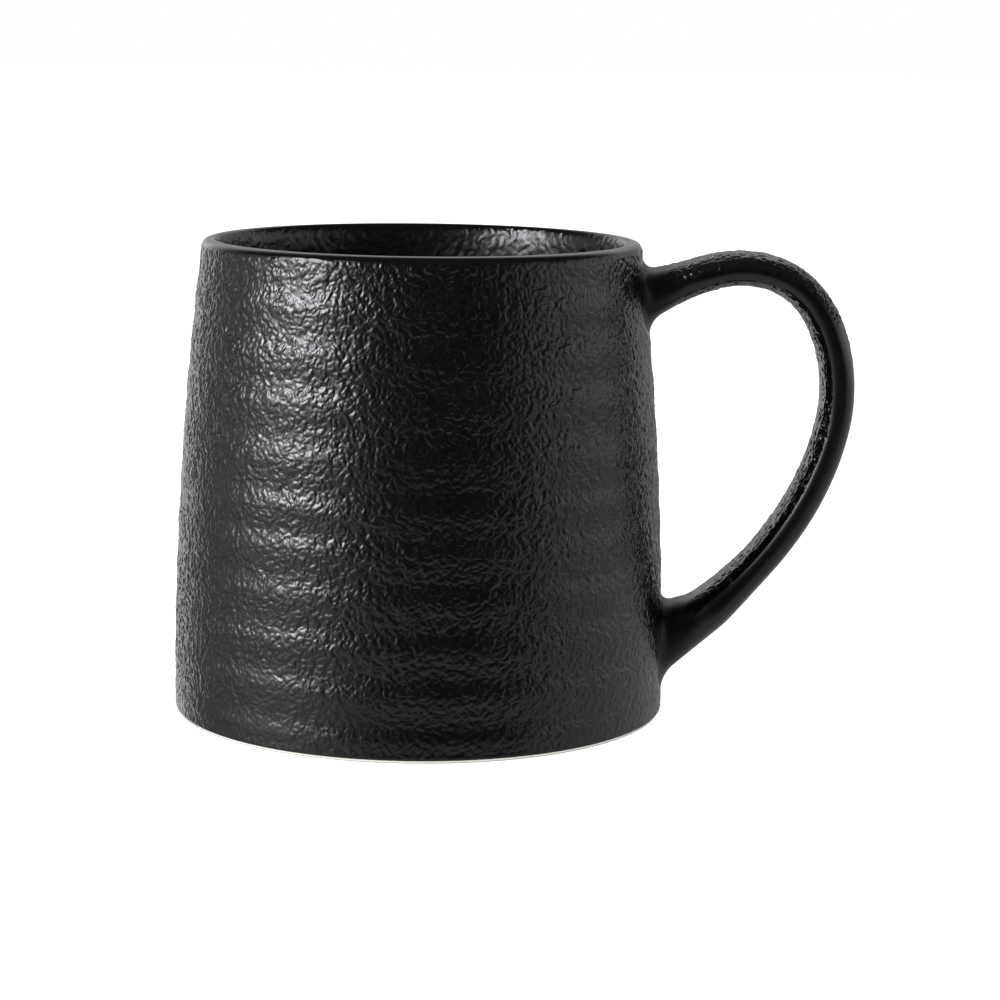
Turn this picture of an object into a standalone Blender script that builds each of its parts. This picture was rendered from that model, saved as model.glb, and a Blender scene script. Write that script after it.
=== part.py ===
"""Stoneware mug with a tapered body and a looped strap handle.

The mug is built the way a potter builds it. The cup body and the strap handle
are two pieces of clay, luted together with slip at two joints, and the fired
piece carries its black glaze in coats: one poured inside, one on the outer wall
that laps over the lip, one on the handle, and one in the recess under the foot.

Frame: metres, +Z up, foot plane at z = 0, handle along +X. The origin is the
centre of the whole mug's footprint box, so the cup's own axis stands a little
to the -X side of it.
"""

import math

import bmesh
import bpy
import numpy as np
from mathutils import Vector

MM = 0.001

# ---- cup, in millimetres, measured to the outside of the glaze
HEIGHT = 90.0
RIM_R = 41.35          # side radius carried up to the rim
BASE_R = 46.9          # side radius carried down to the table
SIDE_BULGE = 1.45      # how far the side stands outside a straight cone at half height
LIP_T = 3.9            # full thickness of the lip
LIP_SQUARE = 2.6       # superellipse exponent of the lip's section, flatter than a half round
LIP_IN = 7.0           # depth over which the inner wall eases out to the lip
FOOT_WALL_T = 4.7      # full thickness of the wall low down
BASE_ROUND = 0.4       # rounding of the glazed lower edge
FLOOR_Z = 7.2          # glazed floor inside
FLOOR_ROUND = 9.0      # inside corner between wall and floor

# ---- coats and gaps
GLAZE_T = 0.5
GAP = 0.25             # clearance between neighbouring pieces

# ---- foot
GLAZE_LINE = 0.5       # height of bare foot under the glazed edge
FOOT_R = 46.15         # bare foot ring, outside, flush with the clay under the glaze
FOOT_IN_R = 40.0       # bare foot ring, inside
RECESS_Z = 2.0         # height of the glazed recess under the base
RECESS_ROUND = 1.2     # corner between the recess and the foot ring, in the clay
FOOT_CHAMFER = 0.3

# ---- handle: centre line in the x-z plane, x from the cup's axis
HANDLE_LINE = [
    (41.0, 79.15), (49.5, 82.65), (60.2, 85.25), (71.4, 81.7), (77.6, 72.2),
    (79.25, 61.0), (75.9, 46.4), (67.8, 32.3), (60.1, 23.6), (53.0, 17.4), (45.0, 12.5),
]
STRAP_T = 6.45         # strap thickness over most of its run
STRAP_T_TOP = 7.0      # at the upper root
STRAP_T_LOW = 9.6      # at the lower root
STRAP_W = 13.0         # strap width
STRAP_W_ROOT = 15.5    # at both roots
UPPER_TAPER = 22.0     # length over which the strap thickens to the upper root
LOWER_TAPER = 27.0     # the same at the lower root
HEEL_T = 2.2           # further thickness right at the lower root
HEEL_TAPER = 12.0
HEAD_T = 2.3           # and the same at the upper root
HEAD_TAPER = 11.0
STRAP_SQUARE = 2.5     # superellipse exponent of the section
ROOT_FILLET = 2.5      # slip smoothed round each root

# ---- facets
TURN = 60              # round the cup
AROUND = 18            # round the strap
ALONG = 24             # along the handle


# ------------------------------------------------------------------ helpers

def clear_scene():
    for obj in list(bpy.data.objects):
        bpy.data.objects.remove(obj, do_unlink=True)


def clay_material(name, color, roughness):
    mat = bpy.data.materials.new(name)
    mat.use_nodes = True
    shader = mat.node_tree.nodes["Principled BSDF"]
    shader.inputs["Base Color"].default_value = (*color, 1.0)
    shader.inputs["Roughness"].default_value = roughness
    shader.inputs["Metallic"].default_value = 0.0
    mat.diffuse_color = (*color, 1.0)
    return mat


def finish(name, bm, mat, sharp_deg=38.0):
    """Turn a closed bmesh into a named, smooth-shaded object."""
    bmesh.ops.recalc_face_normals(bm, faces=bm.faces)
    if bm.calc_volume(signed=True) < 0:
        bmesh.ops.reverse_faces(bm, faces=bm.faces)
    mesh = bpy.data.meshes.new(name)
    bm.to_mesh(mesh)
    bm.free()
    mesh.materials.append(mat)
    mesh.shade_smooth()
    mesh.set_sharp_from_angle(angle=math.radians(sharp_deg))
    obj = bpy.data.objects.new(name, mesh)
    bpy.context.scene.collection.objects.link(obj)
    return obj


def arc(cx, cz, radius, start_deg, end_deg, steps):
    """Points of a circular arc in the r-z half plane, both ends included."""
    points = []
    for i in range(steps + 1):
        a = math.radians(start_deg + (end_deg - start_deg) * i / steps)
        points.append((cx + radius * math.cos(a), cz + radius * math.sin(a)))
    return points


def turned(name, profile, mat, closed=False, sharp_deg=38.0):
    """Spin an r-z profile round the cup's axis.

    An open profile starts and ends on the axis; a closed one is a ring's section.
    """
    bm = bmesh.new()
    verts = [bm.verts.new((r * MM, 0.0, z * MM)) for r, z in profile]
    pairs = list(zip(verts, verts[1:]))
    if closed:
        pairs.append((verts[-1], verts[0]))
    edges = [bm.edges.new(p) for p in pairs]
    bmesh.ops.spin(
        bm, geom=verts + edges, cent=(0, 0, 0), axis=(0, 0, 1),
        angle=2 * math.pi, steps=TURN, use_merge=True, use_duplicate=False)
    bmesh.ops.remove_doubles(bm, verts=bm.verts, dist=1e-7)
    return finish(name, bm, mat, sharp_deg)


# ------------------------------------------------------------- cup surfaces

def side_r(z, inward=0.0):
    """Outer side of the glaze at height z, or a coat parallel inside it."""
    t = z / HEIGHT
    lean = BASE_R + (RIM_R - BASE_R) * t + 4 * SIDE_BULGE * t * (1 - t)
    return lean - inward


def wall_t(z):
    """Full wall thickness, thinning towards the lip."""
    t = min(max(z / HEIGHT, 0.0), 1.0)
    return FOOT_WALL_T + (LIP_T - FOOT_WALL_T) * t


def bore_r(z, outward=0.0):
    """Inner face of the liner glaze at height z, or a coat parallel outside it."""
    return side_r(z) - wall_t(z) + outward


UNDER = GLAZE_T + GAP          # clay lies this deep under a glazed face
LIP_TOP = HEIGHT - LIP_T / 2   # where the lip starts to round over, outside
LIP_IN_Z = HEIGHT - LIP_IN     # and inside
LAP_Z = HEIGHT - 8.5           # the outer coat laps over the lip down to here


def heights(low, high, steps):
    return [low + (high - low) * i / steps for i in range(steps + 1)]


def outer_side(inward, low, steps=5):
    return [(side_r(z, inward), z) for z in heights(low, LIP_TOP, steps)]


def lip(inward, steps=10):
    """Over the lip from the outer side to the inner one, which eases out more gently."""
    mid = side_r(LIP_TOP) - LIP_T / 2
    points = []
    for i in range(steps + 1):
        c, t = math.cos(math.pi * i / steps), max(math.sin(math.pi * i / steps), 0.0)
        if c > 0:
            wide, low, tall = LIP_T / 2, LIP_TOP, LIP_T / 2
        else:
            wide, low, tall = mid - bore_r(LIP_IN_Z), LIP_IN_Z, LIP_IN
        r = mid + (wide - inward) * math.copysign(abs(c) ** (2 / LIP_SQUARE), c)
        points.append((r, low + (tall - inward) * t ** (2 / LIP_SQUARE)))
    return points


def inner_side(outward, high, low, steps=4):
    return [(bore_r(z, outward), z) for z in heights(high, low, steps)]


def floor_corner(outward, steps=4):
    """Inside corner from the wall to the floor."""
    z = FLOOR_Z + FLOOR_ROUND
    return arc(bore_r(z) - FLOOR_ROUND, z, FLOOR_ROUND + outward, 0, -90, steps)


def recess_corner(inward, start_deg, end_deg, steps=3):
    """Corner of the recess under the base, in the clay or in a coat under it."""
    centre_z = RECESS_Z + UNDER - RECESS_ROUND
    return arc(FOOT_IN_R - RECESS_ROUND, centre_z, RECESS_ROUND - inward, start_deg, end_deg, steps)


def cup_body(mat):
    profile = [(0, RECESS_Z + UNDER)]
    profile += recess_corner(0, 90, 0)
    profile += [(FOOT_IN_R, FOOT_CHAMFER), (FOOT_IN_R + FOOT_CHAMFER, 0)]
    profile += [(FOOT_R - FOOT_CHAMFER, 0), (FOOT_R, FOOT_CHAMFER)]
    profile += outer_side(UNDER, GLAZE_LINE + BASE_ROUND)
    profile += lip(UNDER, 8)[1:-1]
    profile += inner_side(UNDER, LIP_IN_Z, FLOOR_Z + FLOOR_ROUND)
    profile += floor_corner(UNDER)[1:]
    profile += [(0, FLOOR_Z - UNDER)]
    return turned("cup_body", profile, mat)


def outer_glaze(mat):
    edge_z = GLAZE_LINE + BASE_ROUND
    edge_r = side_r(edge_z) - BASE_ROUND
    out = arc(edge_r, edge_z, BASE_ROUND, -90, -18, 3)
    out += outer_side(0, edge_z)
    out += lip(0)[1:-1]
    out += inner_side(0, LIP_IN_Z, LAP_Z, 1)
    back = inner_side(GLAZE_T, LAP_Z, LIP_IN_Z, 1)
    back += lip(GLAZE_T, 8)[::-1][1:-1]
    back += outer_side(GLAZE_T, edge_z)[::-1]
    back += [(side_r(GLAZE_LINE, GLAZE_T), GLAZE_LINE)]
    return turned("outer_glaze", out + back, mat, closed=True)


def inner_glaze(mat):
    top = LAP_Z - GAP
    low = FLOOR_Z + FLOOR_ROUND
    back = [(0, FLOOR_Z - GLAZE_T)]
    back += floor_corner(GLAZE_T)[::-1]
    back += inner_side(GLAZE_T, low, top)[1:]
    face = inner_side(0, top, low)
    face += floor_corner(0)[1:]
    face += [(0, FLOOR_Z)]
    return turned("inner_glaze", back + face, mat)


def foot_glaze(mat):
    """Thin coat in the recess under the base, turned down at its edge."""
    top = [(0, RECESS_Z + GLAZE_T)] + recess_corner(GAP, 90, 0)
    low = recess_corner(UNDER, 0, 90) + [(0, RECESS_Z)]
    return turned("foot_glaze", top + low, mat)


# ------------------------------------------------------------------- handle

def spline(points):
    """Natural cubic spline through the points; returns position(s), length."""
    pts = np.array(points, float)
    chord = np.concatenate([[0], np.cumsum(np.hypot(*np.diff(pts, axis=0).T))])
    n = len(pts)
    h = np.diff(chord)
    a = np.zeros((n, n))
    b = np.zeros((n, 2))
    a[0, 0] = a[-1, -1] = 1
    for i in range(1, n - 1):
        a[i, i - 1], a[i, i], a[i, i + 1] = h[i - 1], 2 * (h[i - 1] + h[i]), h[i]
        b[i] = 6 * ((pts[i + 1] - pts[i]) / h[i] - (pts[i] - pts[i - 1]) / h[i - 1])
    m = np.linalg.solve(a, b)

    def at(s):
        i = int(min(max(np.searchsorted(chord, s) - 1, 0), n - 2))
        u, v = chord[i + 1] - s, s - chord[i]
        return (m[i] * u**3 / (6 * h[i]) + m[i + 1] * v**3 / (6 * h[i])
                + (pts[i] / h[i] - m[i] * h[i] / 6) * u
                + (pts[i + 1] / h[i] - m[i + 1] * h[i] / 6) * v)

    return at, float(chord[-1])


LINE_AT, LINE_LENGTH = spline(HANDLE_LINE)


def line_dir(s):
    d = LINE_AT(s + 0.01) - LINE_AT(s - 0.01)
    return d / np.hypot(*d)


def ease(x):
    x = min(max(x, 0.0), 1.0)
    return x * x * (3 - 2 * x)


def strap_size(s):
    """Half thickness and half width of the glazed strap at distance s."""
    upper, lower = ease(1 - s / UPPER_TAPER), ease(1 - (LINE_LENGTH - s) / LOWER_TAPER)
    thick = STRAP_T + (STRAP_T_TOP - STRAP_T) * upper + (STRAP_T_LOW - STRAP_T) * lower
    thick += HEEL_T * ease(1 - (LINE_LENGTH - s) / HEEL_TAPER)
    thick += HEAD_T * ease(1 - s / HEAD_TAPER)
    wide = STRAP_W + (STRAP_W_ROOT - STRAP_W) * max(upper, lower)
    return thick / 2, wide / 2


def wall_s(depth, end):
    """Distance along the centre line where it meets the wall moved out by depth."""
    lo, hi = (0.0, 25.0) if end == "upper" else (LINE_LENGTH - 30.0, LINE_LENGTH)
    for _ in range(50):
        mid = (lo + hi) / 2
        x, z = LINE_AT(mid)
        outside = x > side_r(z) + depth
        if (end == "upper") == outside:
            hi = mid
        else:
            lo = mid
    return (lo + hi) / 2


def strap_ring(s, inward, flare=0.0):
    """Section outline at distance s, drawn in by inward and out by flare."""
    half_t, half_w = strap_size(s)
    half_t += flare - inward
    half_w += flare - inward
    x, z = LINE_AT(s)
    dx, dz = line_dir(s)
    ring = []
    for i in range(AROUND):
        a = 2 * math.pi * i / AROUND
        c, t = math.cos(a), math.sin(a)
        u = math.copysign(abs(c) ** (2 / STRAP_SQUARE), c) * half_t
        v = math.copysign(abs(t) ** (2 / STRAP_SQUARE), t) * half_w
        ring.append(np.array([x - dz * u, v, z + dx * u]))
    return ring


def onto_wall(point, step, depth):
    """Slide a point along step until it lies on the wall moved out by depth."""
    lo, hi = -40.0, 40.0

    def over(t):
        q = point + step * t
        return math.hypot(q[0], q[1]) - side_r(q[2]) - depth

    for _ in range(60):
        mid = (lo + hi) / 2
        if over(mid) > 0:
            hi = mid
        else:
            lo = mid
    return point + step * hi


def wall_ring(end, depth, inward, flare):
    """Section outline laid onto the wall moved out by depth."""
    s = wall_s(max(depth, 0.0), end)
    dx, dz = line_dir(s)
    step = np.array([dx, 0.0, dz]) * (1 if end == "upper" else -1)
    return [onto_wall(p, step, depth) for p in strap_ring(s, inward, flare)], step


def fillet_flare(d):
    """How far the slip stands out from the strap at distance d from the wall."""
    d = min(max(d, 0.0), ROOT_FILLET)
    return ROOT_FILLET - math.sqrt(ROOT_FILLET**2 - (ROOT_FILLET - d) ** 2)


def loft(name, rings, mat, cap_start=None, cap_end=None, ring_close=False, sharp_deg=38.0):
    """Skin a row of outlines. Ends are capped by fans round given centres."""
    bm = bmesh.new()
    rows = [[bm.verts.new(Vector(p) * MM) for p in ring] for ring in rings]
    n = len(rows[0])
    pairs = list(zip(rows, rows[1:]))
    if ring_close:
        pairs.append((rows[-1], rows[0]))
    for a, b in pairs:
        for i in range(n):
            j = (i + 1) % n
            bm.faces.new((a[i], a[j], b[j], b[i]))
    for row, centre in ((rows[0], cap_start), (rows[-1], cap_end)):
        if centre is not None:
            c = bm.verts.new(Vector(centre) * MM)
            for i in range(n):
                bm.faces.new((row[i], row[(i + 1) % n], c))
    return finish(name, bm, mat, sharp_deg)


FLARE_STEPS = (0.0, 0.12, 0.32, 0.6, 1.0)   # fractions of the fillet, wall outwards


def flare_rings(end, inward, first_depth):
    """Outlines from the wall out to the end of the fillet."""
    rings = []
    for f in FLARE_STEPS:
        d = max(f * ROOT_FILLET, first_depth)
        rings.append(wall_ring(end, d, inward, fillet_flare(d))[0])
    return rings


def joint(name, end, mat):
    """Slip pad between the clay wall and the end of the strap."""
    first = GAP * 1.2
    core = flare_rings(end, UNDER, first)
    foot, step = wall_ring(end, -UNDER + GAP, UNDER, fillet_flare(first))
    centre = sum(foot) / len(foot)
    half = [onto_wall(centre + (p - centre) * 0.5, step, -UNDER + GAP) for p in foot]
    middle = onto_wall(centre, step, -UNDER + GAP)
    top = core[-1]
    top_centre = sum(top) / len(top)
    top_half = [onto_wall(top_centre + (p - top_centre) * 0.5, step, ROOT_FILLET) for p in top]
    top_middle = onto_wall(top_centre, step, ROOT_FILLET)
    rings = [half, foot, *core, top_half]
    return loft(name, rings, mat, middle, top_middle)


def window_cutter(name, end, mat):
    """Opening in the outer coat where a slip pad reaches the clay."""
    flare = fillet_flare(GAP * 1.2)
    inner, _ = wall_ring(end, -UNDER - 0.6, UNDER - GAP, flare)
    outer, _ = wall_ring(end, 0.8, UNDER - GAP, flare)
    obj = loft(name, [inner, outer], mat, sum(inner) / len(inner), sum(outer) / len(outer))
    obj.hide_render = True
    obj.display_type = "WIRE"
    return obj


def strap_stations(start, stop, count):
    return [start + (stop - start) * i / count for i in range(count + 1)]


def handle(mat):
    depth = ROOT_FILLET + GAP
    upper, up_step = wall_ring("upper", depth, UNDER, 0.0)
    lower, low_step = wall_ring("lower", depth, UNDER, 0.0)
    s0, s1 = wall_s(depth, "upper") + 4.0, wall_s(depth, "lower") - 6.0
    rings = [upper] + [strap_ring(s, UNDER) for s in strap_stations(s0, s1, ALONG)] + [lower]
    caps = []
    for ring, step in ((upper, up_step), (lower, low_step)):
        centre = sum(ring) / len(ring)
        half = [onto_wall(centre + (p - centre) * 0.5, step, depth) for p in ring]
        caps.append((half, onto_wall(centre, step, depth)))
    rings = [caps[0][0]] + rings + [caps[1][0]]
    return loft("handle", rings, mat, caps[0][1], caps[1][1])


def handle_glaze(mat):
    """Sleeve of glaze over the strap and both slip joints."""
    s0, s1 = wall_s(ROOT_FILLET, "upper") + 4.0, wall_s(ROOT_FILLET, "lower") - 6.0
    stations = strap_stations(s0, s1, ALONG)
    first = GAP * 1.2
    face = flare_rings("upper", 0.0, first)
    face += [strap_ring(s, 0.0) for s in stations]
    face += flare_rings("lower", 0.0, first)[::-1]
    back = flare_rings("upper", GLAZE_T, first)
    back += [strap_ring(s, GLAZE_T) for s in stations]
    back += flare_rings("lower", GLAZE_T, first)[::-1]
    return loft("handle_glaze", face + back[::-1], mat, ring_close=True)


# ----------------------------------------------------------------- assembly

def main():
    clear_scene()
    stoneware = clay_material("bare_stoneware", (0.62, 0.56, 0.46), 0.9)
    strap_clay = clay_material("strap_stoneware", (0.60, 0.54, 0.44), 0.9)
    slip = clay_material("joining_slip", (0.50, 0.44, 0.36), 0.92)
    black = clay_material("black_glaze", (0.012, 0.012, 0.013), 0.38)
    liner = clay_material("liner_glaze", (0.012, 0.012, 0.013), 0.34)
    strap_black = clay_material("handle_glaze", (0.012, 0.012, 0.013), 0.34)
    recess_black = clay_material("recess_glaze", (0.015, 0.015, 0.016), 0.42)

    pieces = [
        cup_body(stoneware),
        outer_glaze(black),
        inner_glaze(liner),
        foot_glaze(recess_black),
        joint("upper_handle_joint", "upper", slip),
        joint("lower_handle_joint", "lower", slip),
        handle(strap_clay),
        handle_glaze(strap_black),
    ]
    cutters = [window_cutter("upper_window", "upper", slip), window_cutter("lower_window", "lower", slip)]
    coat = pieces[1]
    for cutter in cutters:
        cut = coat.modifiers.new(cutter.name, "BOOLEAN")
        cut.operation = "DIFFERENCE"
        cut.solver = "EXACT"
        cut.object = cutter

    # centre the footprint box on the origin
    reach = max(v.co.x for v in pieces[7].data.vertices)
    side = min(v.co.x for v in coat.data.vertices)
    shift = -(reach + side) / 2
    mug = bpy.data.objects.new("mug", None)
    bpy.context.scene.collection.objects.link(mug)
    mug.location = (shift, 0.0, 0.0)
    for obj in pieces + cutters:
        obj.parent = mug
    bpy.context.view_layer.update()


main()
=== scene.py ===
"""Looks for the glazed stoneware mug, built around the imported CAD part.

The coats of glaze are rebuilt as fine meshes that carry the throwing rings and the
leathery relief as real geometry. Lengths inside this script are millimetres in the
cup's own frame (axis at x = 0) until a mesh is written, in metres, in the row frame.
"""

import math

import bpy
import numpy as np
from mathutils import Matrix, Vector


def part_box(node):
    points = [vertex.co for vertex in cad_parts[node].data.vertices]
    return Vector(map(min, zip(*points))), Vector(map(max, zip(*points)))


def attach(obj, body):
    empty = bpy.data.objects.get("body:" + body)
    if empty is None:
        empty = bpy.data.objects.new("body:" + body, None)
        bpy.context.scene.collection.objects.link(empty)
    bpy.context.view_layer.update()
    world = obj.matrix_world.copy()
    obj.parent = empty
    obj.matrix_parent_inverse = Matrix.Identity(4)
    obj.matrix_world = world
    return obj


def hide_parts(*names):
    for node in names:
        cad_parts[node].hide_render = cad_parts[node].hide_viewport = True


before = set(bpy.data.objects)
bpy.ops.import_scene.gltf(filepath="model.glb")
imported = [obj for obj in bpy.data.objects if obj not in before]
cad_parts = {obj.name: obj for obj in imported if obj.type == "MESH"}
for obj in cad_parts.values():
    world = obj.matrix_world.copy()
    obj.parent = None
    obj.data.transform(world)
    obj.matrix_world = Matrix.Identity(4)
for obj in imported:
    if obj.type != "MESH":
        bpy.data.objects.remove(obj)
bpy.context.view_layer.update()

MM = 0.001

# ------------------------------------------------------------- sizes, as in the CAD

_low, _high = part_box("outer_glaze")
AXIS_X = _low.x + (_high.y - _low.y) / 2     # the cup's axis, in metres
HEIGHT = _high.z / MM
BASE_R = 46.9
RIM_R = 41.35
SIDE_BULGE = 1.45
LIP_T = 3.9
LIP_SQUARE = 2.6
LIP_IN = 7.0
FOOT_WALL_T = 4.7
BASE_ROUND = 0.4
FLOOR_Z = 7.2
FLOOR_ROUND = 9.0
GLAZE_T = 0.5
GAP = 0.25
UNDER = GLAZE_T + GAP
GLAZE_LINE = _low.z / MM
FOOT_R = 46.15
FOOT_IN_R = 40.0
RECESS_Z = 2.0
RECESS_ROUND = 1.2
FOOT_CHAMFER = 0.3
LIP_TOP = HEIGHT - LIP_T / 2
LIP_IN_Z = HEIGHT - LIP_IN
LAP_Z = HEIGHT - 8.5

HANDLE_LINE = [
    (41.0, 79.15), (49.5, 82.65), (60.2, 85.25), (71.4, 81.7), (77.6, 72.2),
    (79.25, 61.0), (75.9, 46.4), (67.8, 32.3), (60.1, 23.6), (53.0, 17.4), (45.0, 12.5),
]
STRAP_T, STRAP_T_TOP, STRAP_T_LOW = 6.45, 7.0, 9.6
STRAP_W, STRAP_W_ROOT = 13.0, 15.5
UPPER_TAPER, LOWER_TAPER = 22.0, 27.0
HEEL_T, HEEL_TAPER = 2.2, 12.0
HEAD_T, HEAD_TAPER = 2.3, 11.0
STRAP_SQUARE = 2.5
ROOT_FILLET = 2.5


RELIEF = 1.25                  # strength of the glaze's leathery relief


# ------------------------------------------------------------------------ noise

_lattices = {}


def _lattice(seed):
    if seed not in _lattices:
        rng = np.random.default_rng(seed)
        perm = rng.permutation(256).astype(np.int32)
        grads = rng.normal(size=(256, 3))
        grads /= np.linalg.norm(grads, axis=1)[:, None]
        turn, _ = np.linalg.qr(rng.normal(size=(3, 3)))
        _lattices[seed] = perm, grads.astype(np.float32), turn.astype(np.float32)
    return _lattices[seed]


def noise(p, size, seed):
    """Smooth gradient noise, about -1 to 1, with features about size mm across."""
    perm, grads, turn = _lattice(seed)
    shape = p.shape[:-1]
    q = (p.reshape(-1, 3).astype(np.float32) @ turn) / np.float32(size) + np.float32(71.3)
    cell = np.floor(q).astype(np.int32)
    f = q - cell
    w = f * f * f * (f * (f * 6 - 15) + 10)
    total = np.zeros(len(q), np.float32)
    for dx in (0, 1):
        hx = perm[(cell[:, 0] + dx) & 255]
        wx = w[:, 0] if dx else 1 - w[:, 0]
        for dy in (0, 1):
            hy = perm[(hx + cell[:, 1] + dy) & 255]
            wy = wx * (w[:, 1] if dy else 1 - w[:, 1])
            for dz in (0, 1):
                h = perm[(hy + cell[:, 2] + dz) & 255]
                g = grads[h]
                dot = g[:, 0] * (f[:, 0] - dx) + g[:, 1] * (f[:, 1] - dy) + g[:, 2] * (f[:, 2] - dz)
                total += dot * (wy * (w[:, 2] if dz else 1 - w[:, 2]))
    return (total * 1.7).reshape(shape)


def smooth(lo, hi, x):
    t = np.clip((x - lo) / (hi - lo), 0, 1)
    return t * t * (3 - 2 * t)


def leather(p, size=1.0):
    """Leathery relief of the glaze in mm: small rounded plates parted by narrow creases."""
    s = size
    warp = np.stack([noise(p, 1.6 * s, 11), noise(p, 1.6 * s, 12), noise(p, 1.6 * s, 13)], -1)
    q = p + warp * (0.36 * s)
    a = np.abs(noise(q, 1.75 * s, 21))
    b = np.abs(noise(q, 1.35 * s, 22))
    crease = np.minimum(a, b * 1.25)
    plate = 1 - np.exp(-crease / 0.18)
    swell = noise(q, 1.3 * s, 31)
    grain = noise(q, 0.64 * s, 32)
    vary = 1 + 0.30 * noise(p, 14.0, 33)
    return (0.112 * (plate - 0.60) + 0.052 * swell + 0.040 * grain) * (vary * RELIEF)


def soft_leather(p, size=1.0):
    """The same relief with its creases filled: inside, the glaze lay thicker."""
    s = size
    warp = np.stack([noise(p, 1.6 * s, 11), noise(p, 1.6 * s, 12), noise(p, 1.6 * s, 13)], -1)
    q = p + warp * (0.36 * s)
    a = noise(q, 1.75 * s, 21)
    plate = 1 - np.exp(-(np.sqrt(a * a + 0.02) - 0.14) / 0.45)
    return (0.075 * (plate - 0.35) + 0.050 * noise(q, 1.4 * s, 31)) * RELIEF


# ------------------------------------------------------------------- cup surfaces

def side_r(z, inward=0.0):
    t = z / HEIGHT
    return BASE_R + (RIM_R - BASE_R) * t + 4 * SIDE_BULGE * t * (1 - t) - inward


def wall_t(z):
    t = np.clip(z / HEIGHT, 0.0, 1.0)
    return FOOT_WALL_T + (LIP_T - FOOT_WALL_T) * t


def bore_r(z, outward=0.0):
    return side_r(z) - wall_t(z) + outward


def arc(cx, cz, radius, start_deg, end_deg, steps):
    a = np.radians(np.linspace(start_deg, end_deg, steps + 1))
    return np.stack([cx + radius * np.cos(a), cz + radius * np.sin(a)], 1)


def lip(inward, steps):
    """Over the lip from the outer side to the inner one, flatter than a half round."""
    a = np.linspace(0, math.pi, steps + 1)
    c, t = np.cos(a), np.clip(np.sin(a), 0, 1)
    mid = side_r(LIP_TOP) - LIP_T / 2
    wide = np.where(c > 0, LIP_T / 2, mid - bore_r(LIP_IN_Z)) - inward
    low, tall = np.where(c > 0, LIP_TOP, LIP_IN_Z), np.where(c > 0, LIP_T / 2, LIP_IN) - inward
    return np.stack([mid + wide * np.sign(c) * np.abs(c) ** (2 / LIP_SQUARE),
                     low + tall * t ** (2 / LIP_SQUARE)], 1)


def line(fn, z0, z1, steps):
    z = np.linspace(z0, z1, steps + 1)
    return np.stack([fn(z), z], 1)


def resample(points, spacing):
    """Even spacing along an r-z polyline."""
    points = np.asarray(points, float)
    keep = np.concatenate([[True], np.hypot(*np.diff(points, axis=0).T) > 1e-6])
    points = points[keep]
    s = np.concatenate([[0], np.cumsum(np.hypot(*np.diff(points, axis=0).T))])
    n = max(2, int(round(s[-1] / spacing)) + 1)
    at = np.linspace(0, s[-1], n)
    return np.stack([np.interp(at, s, points[:, 0]), np.interp(at, s, points[:, 1])], 1)


RING_PITCH = 8.58
RING_Z0 = 3.0
RING_A = 0.12


def throwing_rings(p):
    """Soft, level ridges left by the potter's fingers. They crowd a little below
    mid height, open out again above it, and wander slightly round the cup."""
    z = p[..., 2]
    squeeze = 1.65 * np.exp(-((z - 48.5) / 8.0) ** 2)
    wander = 0.55 * noise(p * np.array([1, 1, 0.5]), 40.0, 51) + 0.30 * noise(p * np.array([1, 1, 1.5]), 15.0, 52)
    swell = 1 + 0.35 * noise(p, 26.0, 53)
    phase = 2 * math.pi * (z - RING_Z0 + squeeze + wander) / RING_PITCH
    shape = np.cos(phase) + 0.12 * np.sin(2 * phase)
    fade = smooth(1.0, 5.0, z) * (1 - smooth(HEIGHT - 2.6, HEIGHT - 0.9, z))
    beside = np.abs(p[..., 0]) / np.maximum(np.hypot(p[..., 0], p[..., 1]), 1e-9)
    fade = fade * (1 - 0.5 * smooth(0.82, 0.98, beside))
    return RING_A * swell * shape * fade


# ------------------------------------------------------------------ mesh building

def write_mesh(name, points, faces_quads, faces_tris, mat):
    """points in mm, cup frame. Winding is made outward from the signed volume."""
    pts = points * MM + np.array([AXIS_X, 0.0, 0.0])
    quads = np.asarray(faces_quads, np.int64).reshape(-1, 4)
    tris = np.asarray(faces_tris, np.int64).reshape(-1, 3)
    all_tris = np.concatenate([quads[:, [0, 1, 2]], quads[:, [0, 2, 3]], tris])
    a, b, c = (pts[all_tris[:, i]] for i in range(3))
    if np.einsum("ij,ij->i", a, np.cross(b, c)).sum() < 0:
        quads, tris = quads[:, ::-1], tris[:, ::-1]
    mesh = bpy.data.meshes.new(name)
    mesh.vertices.add(len(pts))
    mesh.vertices.foreach_set("co", pts.astype(np.float32).ravel())
    loops = np.concatenate([quads.ravel(), tris.ravel()]).astype(np.int32)
    starts = np.concatenate([np.arange(len(quads)) * 4, 4 * len(quads) + np.arange(len(tris)) * 3])
    mesh.loops.add(len(loops))
    mesh.loops.foreach_set("vertex_index", loops)
    mesh.polygons.add(len(starts))
    mesh.polygons.foreach_set("loop_start", starts.astype(np.int32))
    mesh.update(calc_edges=True)
    mesh.validate()
    mesh.shade_smooth()
    mesh.materials.append(mat)
    obj = bpy.data.objects.new(name, mesh)
    bpy.context.scene.collection.objects.link(obj)
    return obj


def grid_quads(rows, cols, first=0, wrap_rows=False):
    r = np.arange(rows if wrap_rows else rows - 1)
    c = np.arange(cols)
    r0, c0 = np.meshgrid(r, c, indexing="ij")
    r1, c1 = (r0 + 1) % rows, (c0 + 1) % cols
    return first + np.stack([r0 * cols + c0, r0 * cols + c1, r1 * cols + c1, r1 * cols + c0], -1).reshape(-1, 4)


def grid_normals(p, ref_out):
    """Unit normals of a (rows, cols, 3) grid that is periodic in cols."""
    du = np.roll(p, -1, 1) - np.roll(p, 1, 1)
    dv = np.gradient(p, axis=0)
    n = np.cross(du, dv)
    n /= np.maximum(np.linalg.norm(n, axis=-1, keepdims=True), 1e-12)
    if (n * ref_out).sum() < 0:
        n = -n
    return n


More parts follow.
